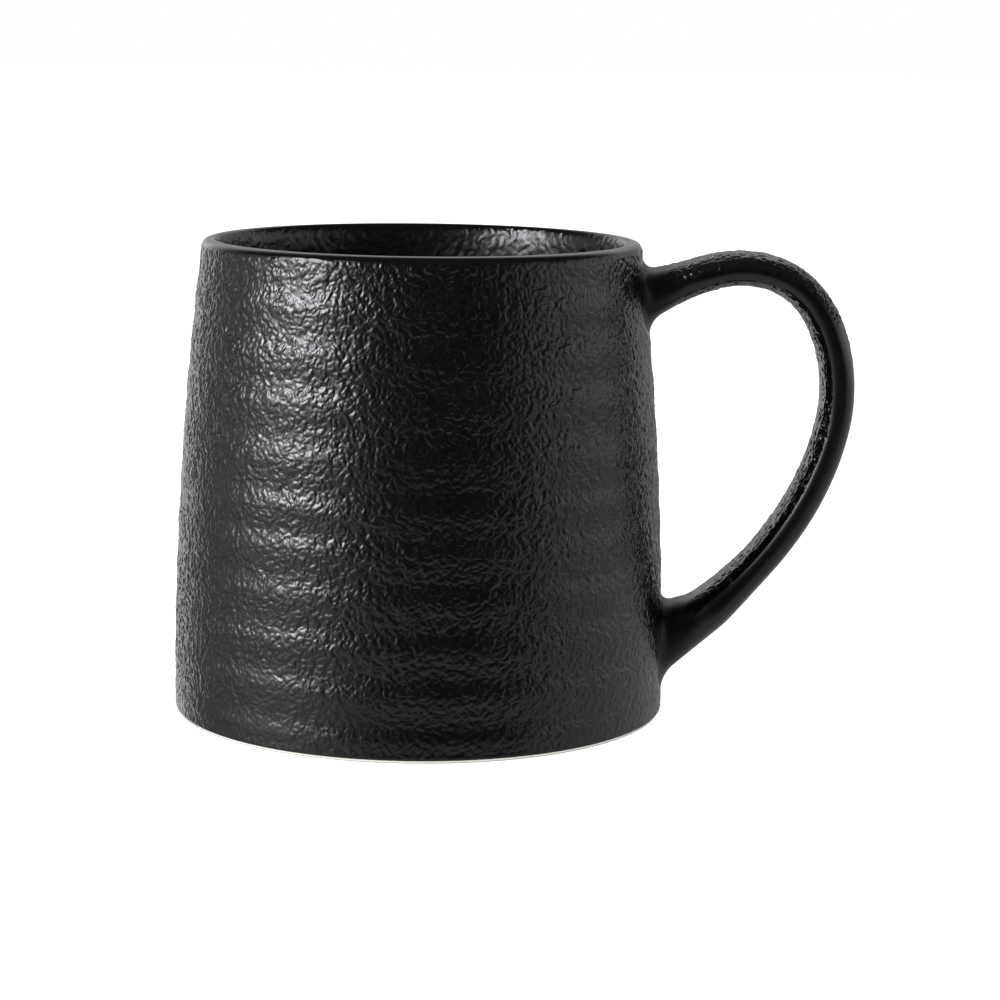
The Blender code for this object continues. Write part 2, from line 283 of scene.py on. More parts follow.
def revolve(profile, cols):
    a = np.arange(cols) * 2 * math.pi / cols
    r, z = profile[:, 0][:, None], profile[:, 1][:, None]
    return np.stack([r * np.cos(a), r * np.sin(a), z + 0 * a], -1)


def revolve_normals(profile, cols, flip):
    t = np.gradient(profile, axis=0)
    t /= np.maximum(np.hypot(t[:, 0], t[:, 1])[:, None], 1e-12)
    nr, nz = t[:, 1], -t[:, 0]
    if flip:
        nr, nz = -nr, -nz
    a = np.arange(cols) * 2 * math.pi / cols
    return np.stack([nr[:, None] * np.cos(a), nr[:, None] * np.sin(a), nz[:, None] + 0 * a], -1)


# -------------------------------------------------------------------- handle sweep

def spline(points):
    pts = np.array(points, float)
    chord = np.concatenate([[0], np.cumsum(np.hypot(*np.diff(pts, axis=0).T))])
    n, h = len(pts), np.diff(chord)
    a, b = np.zeros((n, n)), np.zeros((n, 2))
    a[0, 0] = a[-1, -1] = 1
    for i in range(1, n - 1):
        a[i, i - 1], a[i, i], a[i, i + 1] = h[i - 1], 2 * (h[i - 1] + h[i]), h[i]
        b[i] = 6 * ((pts[i + 1] - pts[i]) / h[i] - (pts[i] - pts[i - 1]) / h[i - 1])
    m = np.linalg.solve(a, b)

    def at(s):
        s = np.atleast_1d(np.asarray(s, float))
        i = np.clip(np.searchsorted(chord, s) - 1, 0, n - 2)
        hi = h[i][:, None]
        u, v = (chord[i + 1] - s)[:, None], (s - chord[i])[:, None]
        return (m[i] * u**3 / (6 * hi) + m[i + 1] * v**3 / (6 * hi)
                + (pts[i] / hi - m[i] * hi / 6) * u + (pts[i + 1] / hi - m[i + 1] * hi / 6) * v)

    return at, float(chord[-1])


LINE_AT, LINE_LENGTH = spline(HANDLE_LINE)


def line_dir(s):
    d = LINE_AT(np.asarray(s) + 0.01) - LINE_AT(np.asarray(s) - 0.01)
    return d / np.hypot(d[:, 0], d[:, 1])[:, None]


def centre_at(s):
    x, z = LINE_AT(s)[0]
    return np.array([x, 0.0, z])


def strap_size(s):
    s = np.atleast_1d(np.asarray(s, float))
    upper, lower = smooth(0, 1, 1 - s / UPPER_TAPER), smooth(0, 1, 1 - (LINE_LENGTH - s) / LOWER_TAPER)
    thick = STRAP_T + (STRAP_T_TOP - STRAP_T) * upper + (STRAP_T_LOW - STRAP_T) * lower
    thick = thick + HEEL_T * smooth(0, 1, 1 - (LINE_LENGTH - s) / HEEL_TAPER)
    thick = thick + HEAD_T * smooth(0, 1, 1 - s / HEAD_TAPER)
    wide = STRAP_W + (STRAP_W_ROOT - STRAP_W) * np.maximum(upper, lower)
    return thick / 2, wide / 2


def strap_rings(s, grow, cols):
    """Sections at distances s, each grown outward by grow (one value or one per section)."""
    s = np.atleast_1d(np.asarray(s, float))
    half_t, half_w = strap_size(s)
    half_t, half_w = half_t + grow, half_w + grow
    fine = np.linspace(0, 2 * math.pi, 721)[:-1]
    cu = np.sign(np.cos(fine)) * np.abs(np.cos(fine)) ** (2 / STRAP_SQUARE)
    cv = np.sign(np.sin(fine)) * np.abs(np.sin(fine)) ** (2 / STRAP_SQUARE)
    mid_t, mid_w = half_t.mean(), half_w.mean()
    step = np.hypot(np.diff(np.append(cu, cu[0])) * mid_t, np.diff(np.append(cv, cv[0])) * mid_w)
    run = np.concatenate([[0], np.cumsum(step)])
    at = np.arange(cols) * run[-1] / cols
    u = np.interp(at, run, np.append(cu, cu[0]))
    v = np.interp(at, run, np.append(cv, cv[0]))
    xz, d = LINE_AT(s), line_dir(s)
    uu, vv = half_t[:, None] * u, half_w[:, None] * v
    return np.stack([xz[:, :1] - d[:, 1:] * uu, vv, xz[:, 1:] + d[:, :1] * uu], -1), u, v


def wall_s(depth, end):
    lo, hi = (0.0, 25.0) if end == "upper" else (LINE_LENGTH - 30.0, LINE_LENGTH)
    for _ in range(50):
        mid = (lo + hi) / 2
        x, z = LINE_AT(mid)[0]
        if (end == "upper") == (x > side_r(z) + depth):
            hi = mid
        else:
            lo = mid
    return (lo + hi) / 2


def onto_wall(p, step, depth):
    lo, hi = np.full(p.shape[:-1], -40.0), np.full(p.shape[:-1], 40.0)
    for _ in range(60):
        mid = (lo + hi) / 2
        q = p + step * mid[..., None]
        over = np.hypot(q[..., 0], q[..., 1]) - side_r(q[..., 2]) - depth > 0
        hi = np.where(over, mid, hi)
        lo = np.where(over, lo, mid)
    return p + step * hi[..., None]


def root_rows(end, inward, rows, cols, dip):
    """Rows of the root fillet from the wall (first row, sunk by dip) out to the plain strap."""
    out = []
    for k in range(rows + 1):
        a = math.pi / 2 * (1 - k / rows)
        depth, flare = ROOT_FILLET * (1 - math.sin(a)), ROOT_FILLET * (1 - math.cos(a))
        if k == 0:
            depth = -dip
        s = wall_s(max(depth, 0.0), end)
        d = line_dir(s)[0]
        step = np.array([d[0], 0.0, d[1]]) * (1 if end == "upper" else -1)
        ring, _, _ = strap_rings(s, flare - inward, cols)
        out.append(onto_wall(ring[0], step, depth))
    return np.array(out)


# ------------------------------------------------------------------------ materials

def new_material(name):
    mat = bpy.data.materials.new(name)
    mat.use_nodes = True
    tree = mat.node_tree
    return mat, tree, tree.nodes["Principled BSDF"]


def node(tree, kind, **inputs):
    n = tree.nodes.new(kind)
    for k, v in inputs.items():
        if hasattr(n, k):
            setattr(n, k, v)
        else:
            n.inputs[k.replace("_", " ")].default_value = v
    return n


def blend(tree, value, lo, hi, a=0.0, b=1.0):
    """Smooth step of value from a (below lo) to b (above hi)."""
    m = tree.nodes.new("ShaderNodeMapRange")
    m.interpolation_type = "SMOOTHSTEP"
    for key, v in (("From Min", lo), ("From Max", hi), ("To Min", a), ("To Max", b)):
        m.inputs[key].default_value = v
    tree.links.new(value, m.inputs["Value"])
    return m.outputs["Result"]


def math_node(tree, operation, *values):
    m = tree.nodes.new("ShaderNodeMath")
    m.operation = operation
    for socket, v in zip(m.inputs, values):
        if isinstance(v, (int, float)):
            socket.default_value = v
        else:
            tree.links.new(v, socket)
    return m.outputs[0]


def mix_value(tree, share, a, b):
    """a where share is 0, b where it is 1."""
    gap = math_node(tree, "SUBTRACT", b, a)
    return math_node(tree, "ADD", a, math_node(tree, "MULTIPLY", gap, share))


def ramp(tree, source, stops):
    r = tree.nodes.new("ShaderNodeValToRGB")
    el = r.color_ramp.elements
    while len(el) < len(stops):
        el.new(0.5)
    for e, (pos, col) in zip(el, stops):
        e.position = pos
        e.color = (*col, 1.0) if len(col) == 3 else col
    tree.links.new(source, r.inputs[0])
    return r


def glaze_material(name, dark, light, rough, bump_mm=0.006, grain=2600.0, shiny_lip=False, dull_root=False):
    """Satin black glaze: faint mottling, uneven sheen and a fine surface grain."""
    mat, tree, shader = new_material(name)
    links = tree.links
    where = tree.nodes.new("ShaderNodeTexCoord").outputs["Object"]
    mottle = node(tree, "ShaderNodeTexNoise", Scale=95.0, Detail=5.0, Roughness=0.6)
    links.new(where, mottle.inputs["Vector"])
    tone = ramp(tree, mottle.outputs["Fac"], [(0.32, dark), (0.55, tuple((a + b) / 2 for a, b in zip(dark, light))), (0.74, light)])
    links.new(tone.outputs["Color"], shader.inputs["Base Color"])
    sheen = node(tree, "ShaderNodeTexNoise", Scale=420.0, Detail=4.0, Roughness=0.65)
    links.new(where, sheen.inputs["Vector"])
    spread = tree.nodes.new("ShaderNodeMapRange")
    spread.inputs["From Min"].default_value = 0.3
    spread.inputs["From Max"].default_value = 0.7
    spread.inputs["To Min"].default_value = rough[0]
    spread.inputs["To Max"].default_value = rough[1]
    links.new(sheen.outputs["Fac"], spread.inputs["Value"])
    if shiny_lip:      # the glaze runs thin and glossy over the lip
        part = tree.nodes.new("ShaderNodeSeparateXYZ")
        links.new(where, part.inputs[0])
        polish = blend(tree, part.outputs[2], (HEIGHT - 1.4) * MM, (HEIGHT - 0.6) * MM, 1.0, 0.55)
        dx = math_node(tree, "SUBTRACT", part.outputs[0], AXIS_X)
        dist = math_node(tree, "SQRT", math_node(tree, "ADD", math_node(tree, "MULTIPLY", dx, dx),
                                                 math_node(tree, "MULTIPLY", part.outputs[1], part.outputs[1])))
        inner = blend(tree, dist, (RIM_R - LIP_T / 2 - 1.4) * MM, (RIM_R - LIP_T / 2 - 0.4) * MM, 1.8, 1.0)
        polish = math_node(tree, "MULTIPLY", polish, inner)
        links.new(blend(tree, part.outputs[2], (HEIGHT - 1.9) * MM, (HEIGHT - 1.0) * MM, 0.5, 0.33),
                  shader.inputs["Specular IOR Level"])
        links.new(math_node(tree, "MULTIPLY", spread.outputs["Result"], polish), shader.inputs["Roughness"])
    elif dull_root:    # and it lies drier over the slip at the handle's roots
        part = tree.nodes.new("ShaderNodeSeparateXYZ")
        links.new(where, part.inputs[0])
        off = math_node(tree, "SUBTRACT", part.outputs[0], AXIS_X)
        slope = math_node(tree, "MULTIPLY", part.outputs[2], (RIM_R - BASE_R) / HEIGHT)
        depth = math_node(tree, "SUBTRACT", off, math_node(tree, "ADD", slope, BASE_R * MM))
        dry = blend(tree, depth, 2.5 * MM, 9.0 * MM, 1.0, 0.0)
        wider = math_node(tree, "ADD", 1.0, math_node(tree, "MULTIPLY", dry, 0.9))
        links.new(math_node(tree, "MULTIPLY", spread.outputs["Result"], wider), shader.inputs["Roughness"])
        links.new(mix_value(tree, dry, 0.5, 0.22), shader.inputs["Specular IOR Level"])
    else:
        links.new(spread.outputs["Result"], shader.inputs["Roughness"])
    fine = node(tree, "ShaderNodeTexNoise", Scale=grain, Detail=2.0, Roughness=0.5)
    links.new(where, fine.inputs["Vector"])
    bump = tree.nodes.new("ShaderNodeBump")
    bump.inputs["Strength"].default_value = 1.0
    bump.inputs["Distance"].default_value = bump_mm * MM
    links.new(fine.outputs["Fac"], bump.inputs["Height"])
    links.new(bump.outputs["Normal"], shader.inputs["Normal"])
    shader.inputs["IOR"].default_value = 1.55
    return mat


def clay_material(name, low, high, speck, bump_mm=0.03):
    """Fired stoneware: warm pale body, grog specks, dry grain."""
    mat, tree, shader = new_material(name)
    links = tree.links
    where = tree.nodes.new("ShaderNodeTexCoord").outputs["Object"]
    cloud = node(tree, "ShaderNodeTexNoise", Scale=130.0, Detail=6.0, Roughness=0.6)
    links.new(where, cloud.inputs["Vector"])
    tone = ramp(tree, cloud.outputs["Fac"], [(0.3, low), (0.7, high)])
    cells = node(tree, "ShaderNodeTexVoronoi", Scale=900.0)
    links.new(where, cells.inputs["Vector"])
    dots = ramp(tree, cells.outputs["Distance"], [(0.0, (1, 1, 1)), (0.16, (1, 1, 1)), (0.24, (0, 0, 0))])
    pick = node(tree, "ShaderNodeTexNoise", Scale=520.0, Detail=1.0)
    links.new(where, pick.inputs["Vector"])
    chosen = ramp(tree, pick.outputs["Fac"], [(0.56, (0, 0, 0)), (0.62, (1, 1, 1))])
    both = node(tree, "ShaderNodeMath", operation="MULTIPLY")
    links.new(dots.outputs["Color"], both.inputs[0])
    links.new(chosen.outputs["Color"], both.inputs[1])
    mix = tree.nodes.new("ShaderNodeMix")
    mix.data_type = "RGBA"
    links.new(both.outputs[0], mix.inputs[0])
    links.new(tone.outputs["Color"], mix.inputs[6])
    mix.inputs[7].default_value = (*speck, 1.0)
    links.new(mix.outputs[2], shader.inputs["Base Color"])
    rough = ramp(tree, cloud.outputs["Fac"], [(0.3, (0.82,) * 3), (0.7, (0.95,) * 3)])
    links.new(rough.outputs["Color"], shader.inputs["Roughness"])
    grain = node(tree, "ShaderNodeTexNoise", Scale=1900.0, Detail=5.0, Roughness=0.7)
    links.new(where, grain.inputs["Vector"])
    bump = tree.nodes.new("ShaderNodeBump")
    bump.inputs["Distance"].default_value = bump_mm * MM
    links.new(grain.outputs["Fac"], bump.inputs["Height"])
    links.new(bump.outputs["Normal"], shader.inputs["Normal"])
    return mat


BLACK, BLACK_HI = (0.0010, 0.0010, 0.0011), (0.0022, 0.0020, 0.0021)
wall_glaze = glaze_material("wall_glaze", BLACK, BLACK_HI, (0.17, 0.26), 0.016, shiny_lip=True)
liner_glaze = glaze_material("liner_glaze", BLACK, BLACK_HI, (0.30, 0.42))
strap_glaze = glaze_material("strap_glaze", BLACK, BLACK_HI, (0.16, 0.24), 0.006, dull_root=True)
recess_glaze = glaze_material("recess_glaze", BLACK, BLACK_HI, (0.28, 0.40), 0.01)
bare_clay = clay_material("bare_clay", (0.86, 0.82, 0.74), (0.94, 0.92, 0.87), (0.50, 0.41, 0.30))
strap_clay = clay_material("strap_clay", (0.62, 0.55, 0.44), (0.74, 0.68, 0.57), (0.3, 0.22, 0.14))
slip_clay = clay_material("slip_clay", (0.46, 0.40, 0.32), (0.56, 0.50, 0.42), (0.28, 0.21, 0.14), 0.015)


# ---------------------------------------------------------------------- cup pieces

def root_shade(p):
    """1 on the open wall, falling to 0 on and near the two handle roots."""
    keep = np.ones(p.shape[:-1], np.float32)
    for end in ("upper", "lower"):
        ring = root_rows(end, 0.0, 1, 48, 0.0)[0]
        cz = (ring[:, 2].max() + ring[:, 2].min()) / 2
        hz, hy = (ring[:, 2].max() - ring[:, 2].min()) / 2, ring[:, 1].max()
        q = (np.abs(p[..., 1] / hy) ** 2.5 + np.abs((p[..., 2] - cz) / hz) ** 2.5) ** 0.4
        near = 1 - smooth(1.0, 1.0 + 1.6 / hz, q)
        keep *= 1 - near * (p[..., 0] > 0)
    return keep


def inside_relief(p):
    """Relief of the inner wall: coarser plates and shallow throwing rings."""
    z = p[..., 2]
    rings = 0.07 * np.cos(2 * math.pi * (z - 4.0 + noise(p, 40.0, 61)) / RING_PITCH)
    rings *= smooth(FLOOR_Z + 9, FLOOR_Z + 17, z) * (1 - smooth(HEIGHT - 12, HEIGHT - 6, z))
    return soft_leather(p + 200.0, 1.0) + rings


def glazed_wall(mat):
    """Outer coat: lower edge, side with rings and relief, lip and the lap inside it."""
    cols = 1536
    edge_z = GLAZE_LINE + BASE_ROUND
    edge_r = side_r(edge_z) - BASE_ROUND
    mid = side_r(LIP_TOP) - LIP_T / 2
    face = np.concatenate([
        arc(edge_r, edge_z, BASE_ROUND, -90, 0, 24),
        line(side_r, edge_z, LIP_TOP, 400)[1:],
        lip(0.0, 400)[1:-1],
        line(bore_r, LIP_IN_Z, LAP_Z - 2.0, 30),
    ])
    face = resample(face, 0.19)
    base = revolve(face, cols)
    normal = revolve_normals(face, cols, False)
    z, r = base[..., 2], np.hypot(base[..., 0], base[..., 1])
    outside = r > mid
    top = np.where(outside, 1 - smooth(HEIGHT - 1.6, HEIGHT - 0.8, z), 1 - smooth(HEIGHT - 0.8, HEIGHT - 0.1, z))
    foot = smooth(GLAZE_LINE + 0.05, GLAZE_LINE + 0.6, z)
    amount = top * foot * root_shade(base)
    amount = amount * (0.6 + 0.4 * smooth(1.0, 15.0, z))
    relief = np.where(outside, leather(base, 1.06) * (amount * (1 + 0.35 * smooth(0.72, 0.95, -base[..., 0] / r))) + throwing_rings(base), inside_relief(base) * top)
    # the lap's last stretch sinks under the liner coat, so no edge shows inside
    sink = np.where(outside, 0.0, smooth(0, 2.0, LAP_Z - z)) * 0.03
    p = base + normal * (relief - sink)[..., None]
    back = np.concatenate([
        line(lambda v: bore_r(v, GLAZE_T), LAP_Z - 2.0, LIP_IN_Z, 3),
        lip(GLAZE_T, 16)[::-1][1:-1],
        line(lambda v: side_r(v, GLAZE_T), LIP_TOP, GLAZE_LINE, 12),
    ])
    rows = np.concatenate([p, revolve(back, cols)])
    n = len(rows)
    obj = write_mesh("glazed_wall", rows.reshape(-1, 3), grid_quads(n, cols, wrap_rows=True), np.zeros((0, 3)), mat)
    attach(obj, "root")
    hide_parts("outer_glaze")
    return obj


def glazed_liner(mat):
    """Liner coat: the inside wall below the lap, the corner and the floor."""
    cols = 560
    top = LAP_Z
    corner_z = FLOOR_Z + FLOOR_ROUND
    face = np.concatenate([
        line(bore_r, top, corner_z, 300),
        arc(bore_r(corner_z) - FLOOR_ROUND, corner_z, FLOOR_ROUND, 0, -90, 60)[1:],
        np.stack([np.linspace(bore_r(corner_z) - FLOOR_ROUND, 0.6, 60), np.full(60, FLOOR_Z)], 1)[1:],
    ])
    face = resample(face, 0.46)
    base = revolve(face, cols)
    normal = revolve_normals(face, cols, True)
    r = np.hypot(base[..., 0], base[..., 1])
    ref = np.stack([-base[..., 0], -base[..., 1], np.full(r.shape, 20.0)], -1)
    if (normal * ref).sum() < 0:
        normal = -normal
    spiral = 0.08 * np.cos(2 * math.pi * (r - 3.2 * np.arctan2(base[..., 1], base[..., 0]) / math.pi) / 6.4)
    floor_part = smooth(0, 6, 40 - r) * (1 - smooth(FLOOR_Z + 0.5, FLOOR_Z + 5, base[..., 2])) * smooth(0.5, 6, r)
    sink = 0.03 * smooth(top - 2.0, top, base[..., 2])
    relief = inside_relief(base) * smooth(0.6, 3.0, r) + spiral * floor_part - sink
    p = base + normal * relief[..., None]
    back = np.concatenate([
        np.stack([np.linspace(0.6, bore_r(corner_z) - FLOOR_ROUND, 5), np.full(5, FLOOR_Z - GLAZE_T)], 1),
        arc(bore_r(corner_z) - FLOOR_ROUND, corner_z, FLOOR_ROUND + GLAZE_T, -90, 0, 8)[1:],
        line(lambda v: bore_r(v, GLAZE_T), corner_z, top, 8)[1:],
    ])
    rows = np.concatenate([revolve(back, cols), p])
    n = len(rows)
    pts = rows.reshape(-1, 3)
    centre_low, centre_top = len(pts), len(pts) + 1
    pts = np.concatenate([pts, [[0, 0, FLOOR_Z - GLAZE_T], [0, 0, p[-1, :, 2].mean()]]])
    j = np.arange(cols)
    k = (j + 1) % cols
    first, last = 0, (n - 1) * cols
    tris = np.concatenate([
        np.stack([first + k, first + j, np.full(cols, centre_low)], 1),
        np.stack([last + j, last + k, np.full(cols, centre_top)], 1),
    ])
    obj = write_mesh("glazed_liner", pts, grid_quads(n, cols), tris, mat)
    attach(obj, "root")
    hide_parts("inner_glaze")
    return obj


def glazed_handle(mat):
    """Glaze over the strap: relief on its outer and inner faces, smooth along its edges."""
    cols = 200
    s0, s1 = wall_s(ROOT_FILLET, "upper"), wall_s(ROOT_FILLET, "lower")
    up = root_rows("upper", 0.0, 14, cols, 0.25)
    low = root_rows("lower", 0.0, 14, cols, 0.25)[::-1]
    stations = np.linspace(s0, s1, 640)
    strap, around, _ = strap_rings(stations, 0.0, cols)
    # ease the strap's first and last sections from the slanted root to square ones
    lead = 56
    for k in range(lead):
        w = smooth(0, 1, (k + 1) / lead)
        for at, ring, end in ((k, up[-1], s0), (-1 - k, low[0], s1)):
            here, there = centre_at(stations[at]), centre_at(end)
            shrink = strap_size(stations[at])[0][0] / strap_size(end)[0][0]
            strap[at] = strap[at] * w + (here + (ring - there) * shrink) * (1 - w)
    base = np.concatenate([up[:-1], strap, low[1:]])
    mids = base.mean(1, keepdims=True)
    normal = grid_normals(base, base - mids)
    ragged = 0.20 * noise(base, 3.0, 71) + 0.10 * noise(base, 1.2, 73)
    run = np.concatenate([np.full(len(up) - 1, s0), stations, np.full(len(low) - 1, s1)])
    # over the top arc the relief comes down the sides; further down it keeps to the inner face
    edge = (0.0 + 0.85 * smooth(28.0, 46.0, run))[:, None]
    outer = smooth(edge, edge + 0.2, around[None, :] + ragged) * (1 - 0.85 * smooth(40.0, 52.0, run))[:, None]
    inner = smooth(0.50, 0.72, -around[None, :] + ragged)
    faces = np.maximum(outer, inner)
    ends = smooth(0.8, 4.0, run - s0) * smooth(3.0, 19.0, s1 - run)
    relief = 1.45 * leather(base, 0.98) * (faces * ends[:, None])
    relief += 0.03 * noise(base, 7.0, 72) * smooth(0, 6, np.minimum(run - s0, s1 - run))[:, None]
    # a thin ridge where the inner face turns into the sides, broken here and there
    off = around[None, :] + 0.80 + 0.05 * noise(base, 5.0, 74)
    ridge = np.exp(-(off / 0.07) ** 2) * np.clip(0.75 + 0.8 * noise(base, 2.6, 75), 0, 1.3)
    relief += 0.16 * ridge * (smooth(44.0, 56.0, run) * smooth(9.0, 20.0, s1 - run))[:, None]
    p = base + normal * relief[..., None]
    inner_s = np.linspace(s0, s1, 40)
    sleeve, _, _ = strap_rings(inner_s[1:-1], -GLAZE_T, cols)
    back_up = root_rows("upper", GLAZE_T, 3, cols, 0.25)
    back_low = root_rows("lower", GLAZE_T, 3, cols, 0.25)[::-1]
    back = np.concatenate([back_up, sleeve[3:-3], back_low])[::-1]
    rows = np.concatenate([p, back])
    n = len(rows)
    obj = write_mesh("glazed_handle", rows.reshape(-1, 3), grid_quads(n, cols, wrap_rows=True), np.zeros((0, 3)), mat)
    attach(obj, "root")
    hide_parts("handle_glaze")
    return obj


def corner(inward, a0, a1, steps):
    cz = RECESS_Z + UNDER - RECESS_ROUND
    return arc(FOOT_IN_R - RECESS_ROUND, cz, RECESS_ROUND - inward, a0, a1, steps)


def fan_solid(name, profile, cols, mat, displace=None):
    """Closed solid of revolution whose profile starts and ends on the axis."""
    inner = profile[1:-1]
    base = revolve(inner, cols)
    if displace is not None:
        base = displace(base, revolve_normals(inner, cols, False))
    n = len(base)
    pts = np.concatenate([base.reshape(-1, 3), [[0, 0, profile[0][1]], [0, 0, profile[-1][1]]]])
    j = np.arange(cols)
    k = (j + 1) % cols
    last = (n - 1) * cols
    tris = np.concatenate([
        np.stack([k, j, np.full(cols, n * cols)], 1),
        np.stack([last + j, last + k, np.full(cols, n * cols + 1)], 1),
    ])
    return write_mesh(name, pts, grid_quads(n, cols), tris, mat)


def clay_cup(mat):
    """Bare clay body. Only its foot ring shows, so that is where the detail is."""
    low = np.concatenate([
        corner(0, 90, 0, 8),
        [(FOOT_IN_R, 0.8), (FOOT_IN_R, 0.45)],
        arc(FOOT_IN_R + 0.35, 0.35, 0.35, 180, 270, 5),
        np.stack([np.linspace(FOOT_IN_R + 0.5, FOOT_R - 0.5, 14), np.zeros(14)], 1),
        arc(FOOT_R - 0.3, 0.3, 0.3, -90, 0, 5),
        [(FOOT_R, 0.45), (FOOT_R, 0.6), (FOOT_R, 0.8)],
    ])
    corner_z = FLOOR_Z + FLOOR_ROUND
    high = np.concatenate([
        line(lambda v: side_r(v, UNDER), 1.2, LIP_TOP, 10),
        lip(UNDER, 16)[1:-1],
        line(lambda v: bore_r(v, UNDER), LIP_IN_Z, corner_z, 8),
        arc(bore_r(corner_z) - FLOOR_ROUND, corner_z, FLOOR_ROUND + UNDER, 0, -90, 6)[1:],
    ])
    profile = np.concatenate([[(0, RECESS_Z + UNDER)], low, high, [(0, FLOOR_Z - UNDER)]])

    def rough(p, n):
        amount = 0.035 * noise(p, 1.3, 81) + 0.02 * noise(p, 0.7, 82) - 0.01
        show = (p[..., 2] < 1.2) * smooth(0.0, 0.02, p[..., 2] + 0.02)
        dry = amount * show
        q = p + n * dry[..., None]
        q[..., 2] = np.maximum(q[..., 2], 0.0)
        return q

    obj = fan_solid("clay_cup", profile, 420, mat, rough)
    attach(obj, "root")
    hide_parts("cup_body")
    return obj


def glazed_recess(mat):
    """Glaze in the recess under the base, with faint turning rings."""
    face = np.concatenate([corner(UNDER, 0, 90, 8), np.stack([np.linspace(FOOT_IN_R - RECESS_ROUND - 0.4, 0.5, 90), np.full(90, RECESS_Z)], 1)])
    back = np.concatenate([[(0, RECESS_Z + GLAZE_T)], corner(GAP, 90, 0, 6)])
    profile = np.concatenate([back, face, [(0, RECESS_Z)]])

    def rings(p, n):
        r = np.hypot(p[..., 0], p[..., 1])
        shown = (p[..., 2] < RECESS_Z + 0.01) * smooth(0.5, 2, r) * smooth(0, 2, FOOT_IN_R - 1.6 - r)
        d = (0.035 * np.cos(2 * math.pi * (r + 0.5 * noise(p, 12.0, 91)) / 4.2) + 0.02 * noise(p, 2.4, 92)) * shown
        q = p.copy()
        q[..., 2] += d
        return q

    obj = fan_solid("glazed_recess", profile, 360, mat, rings)
    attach(obj, "root")
    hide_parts("foot_glaze")
    return obj


glazed_wall(wall_glaze)
glazed_liner(liner_glaze)
glazed_handle(strap_glaze)
clay_cup(bare_clay)
glazed_recess(recess_glaze)

for name, mat in (("handle", strap_clay), ("upper_handle_joint", slip_clay), ("lower_handle_joint", slip_clay)):
    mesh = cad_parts[name].data
    mesh.materials.clear()
    mesh.materials.append(mat)


# --------------------------------------------------------------------------- stage

def stage_floor():
    """A wide pale sheet that the mug stands on. It glows evenly white by its own emission, and that glow is turned
    down in a thin ring round the foot: a painted contact shadow.
    """
    mesh = bpy.data.meshes.new("floor")
    side, n = 6.0, 24
    xs = np.linspace(-side, side, n + 1)
    gx, gy = np.meshgrid(xs, xs, indexing="ij")
    verts = np.stack([gx.ravel(), gy.ravel(), np.zeros(gx.size)], 1)
    faces = [(i * (n + 1) + j, (i + 1) * (n + 1) + j, (i + 1) * (n + 1) + j + 1, i * (n + 1) + j + 1)
             for i in range(n) for j in range(n)]
    mesh.from_pydata(verts.tolist(), [], faces)
    obj = bpy.data.objects.new("floor", mesh)
    bpy.context.scene.collection.objects.link(obj)
    mat, tree, shader = new_material("pale_floor")
    where = tree.nodes.new("ShaderNodeTexCoord").outputs["Object"]
    part = tree.nodes.new("ShaderNodeSeparateXYZ")
    tree.links.new(where, part.inputs[0])
    dx = math_node(tree, "SUBTRACT", part.outputs[0], AXIS_X)
    dist = math_node(tree, "SQRT", math_node(tree, "ADD", math_node(tree, "MULTIPLY", dx, dx),
                                             math_node(tree, "MULTIPLY", part.outputs[1], part.outputs[1])))
    # painted contact shadow: the floor's emission falls from 1.0 to 0.2 within 0.05 to 0.45 mm outside the foot ring
    emission_with_painted_shadow = blend(tree, dist, (FOOT_R + 0.05) * MM, (FOOT_R + 0.45) * MM, 0.2, 1.0)
    shader.inputs["Base Color"].default_value = (0.5, 0.5, 0.5, 1)
    shader.inputs["Roughness"].default_value = 0.9
    shader.inputs["Specular IOR Level"].default_value = 0.1
    shader.inputs["Emission Color"].default_value = (1, 1, 1, 1)
    tree.links.new(emission_with_painted_shadow, shader.inputs["Emission Strength"])
    mesh.materials.append(mat)
    obj.visible_glossy = False
    return obj


def soft_light(name, azimuth, elevation, distance, width, height, radiance, target=(0, 0, 0.045)):
    """A soft box. Azimuth 0 is on the camera's side, 90 to its right."""
    a, e = math.radians(azimuth), math.radians(elevation)
    aim = Vector(target)
    place = aim + distance * Vector((math.sin(a) * math.cos(e), -math.cos(a) * math.cos(e), math.sin(e)))
    data = bpy.data.lights.new(name, "AREA")
    data.shape = "RECTANGLE"
    data.size, data.size_y = width, height
    data.energy = radiance * math.pi * width * height
    data.color = (0.985, 0.985, 1.035)
    obj = bpy.data.objects.new(name, data)
    obj.location = place
    obj.rotation_euler = (place - aim).to_track_quat("Z", "Y").to_euler()
    obj.visible_camera = False
    bpy.context.scene.collection.objects.link(obj)
    return obj


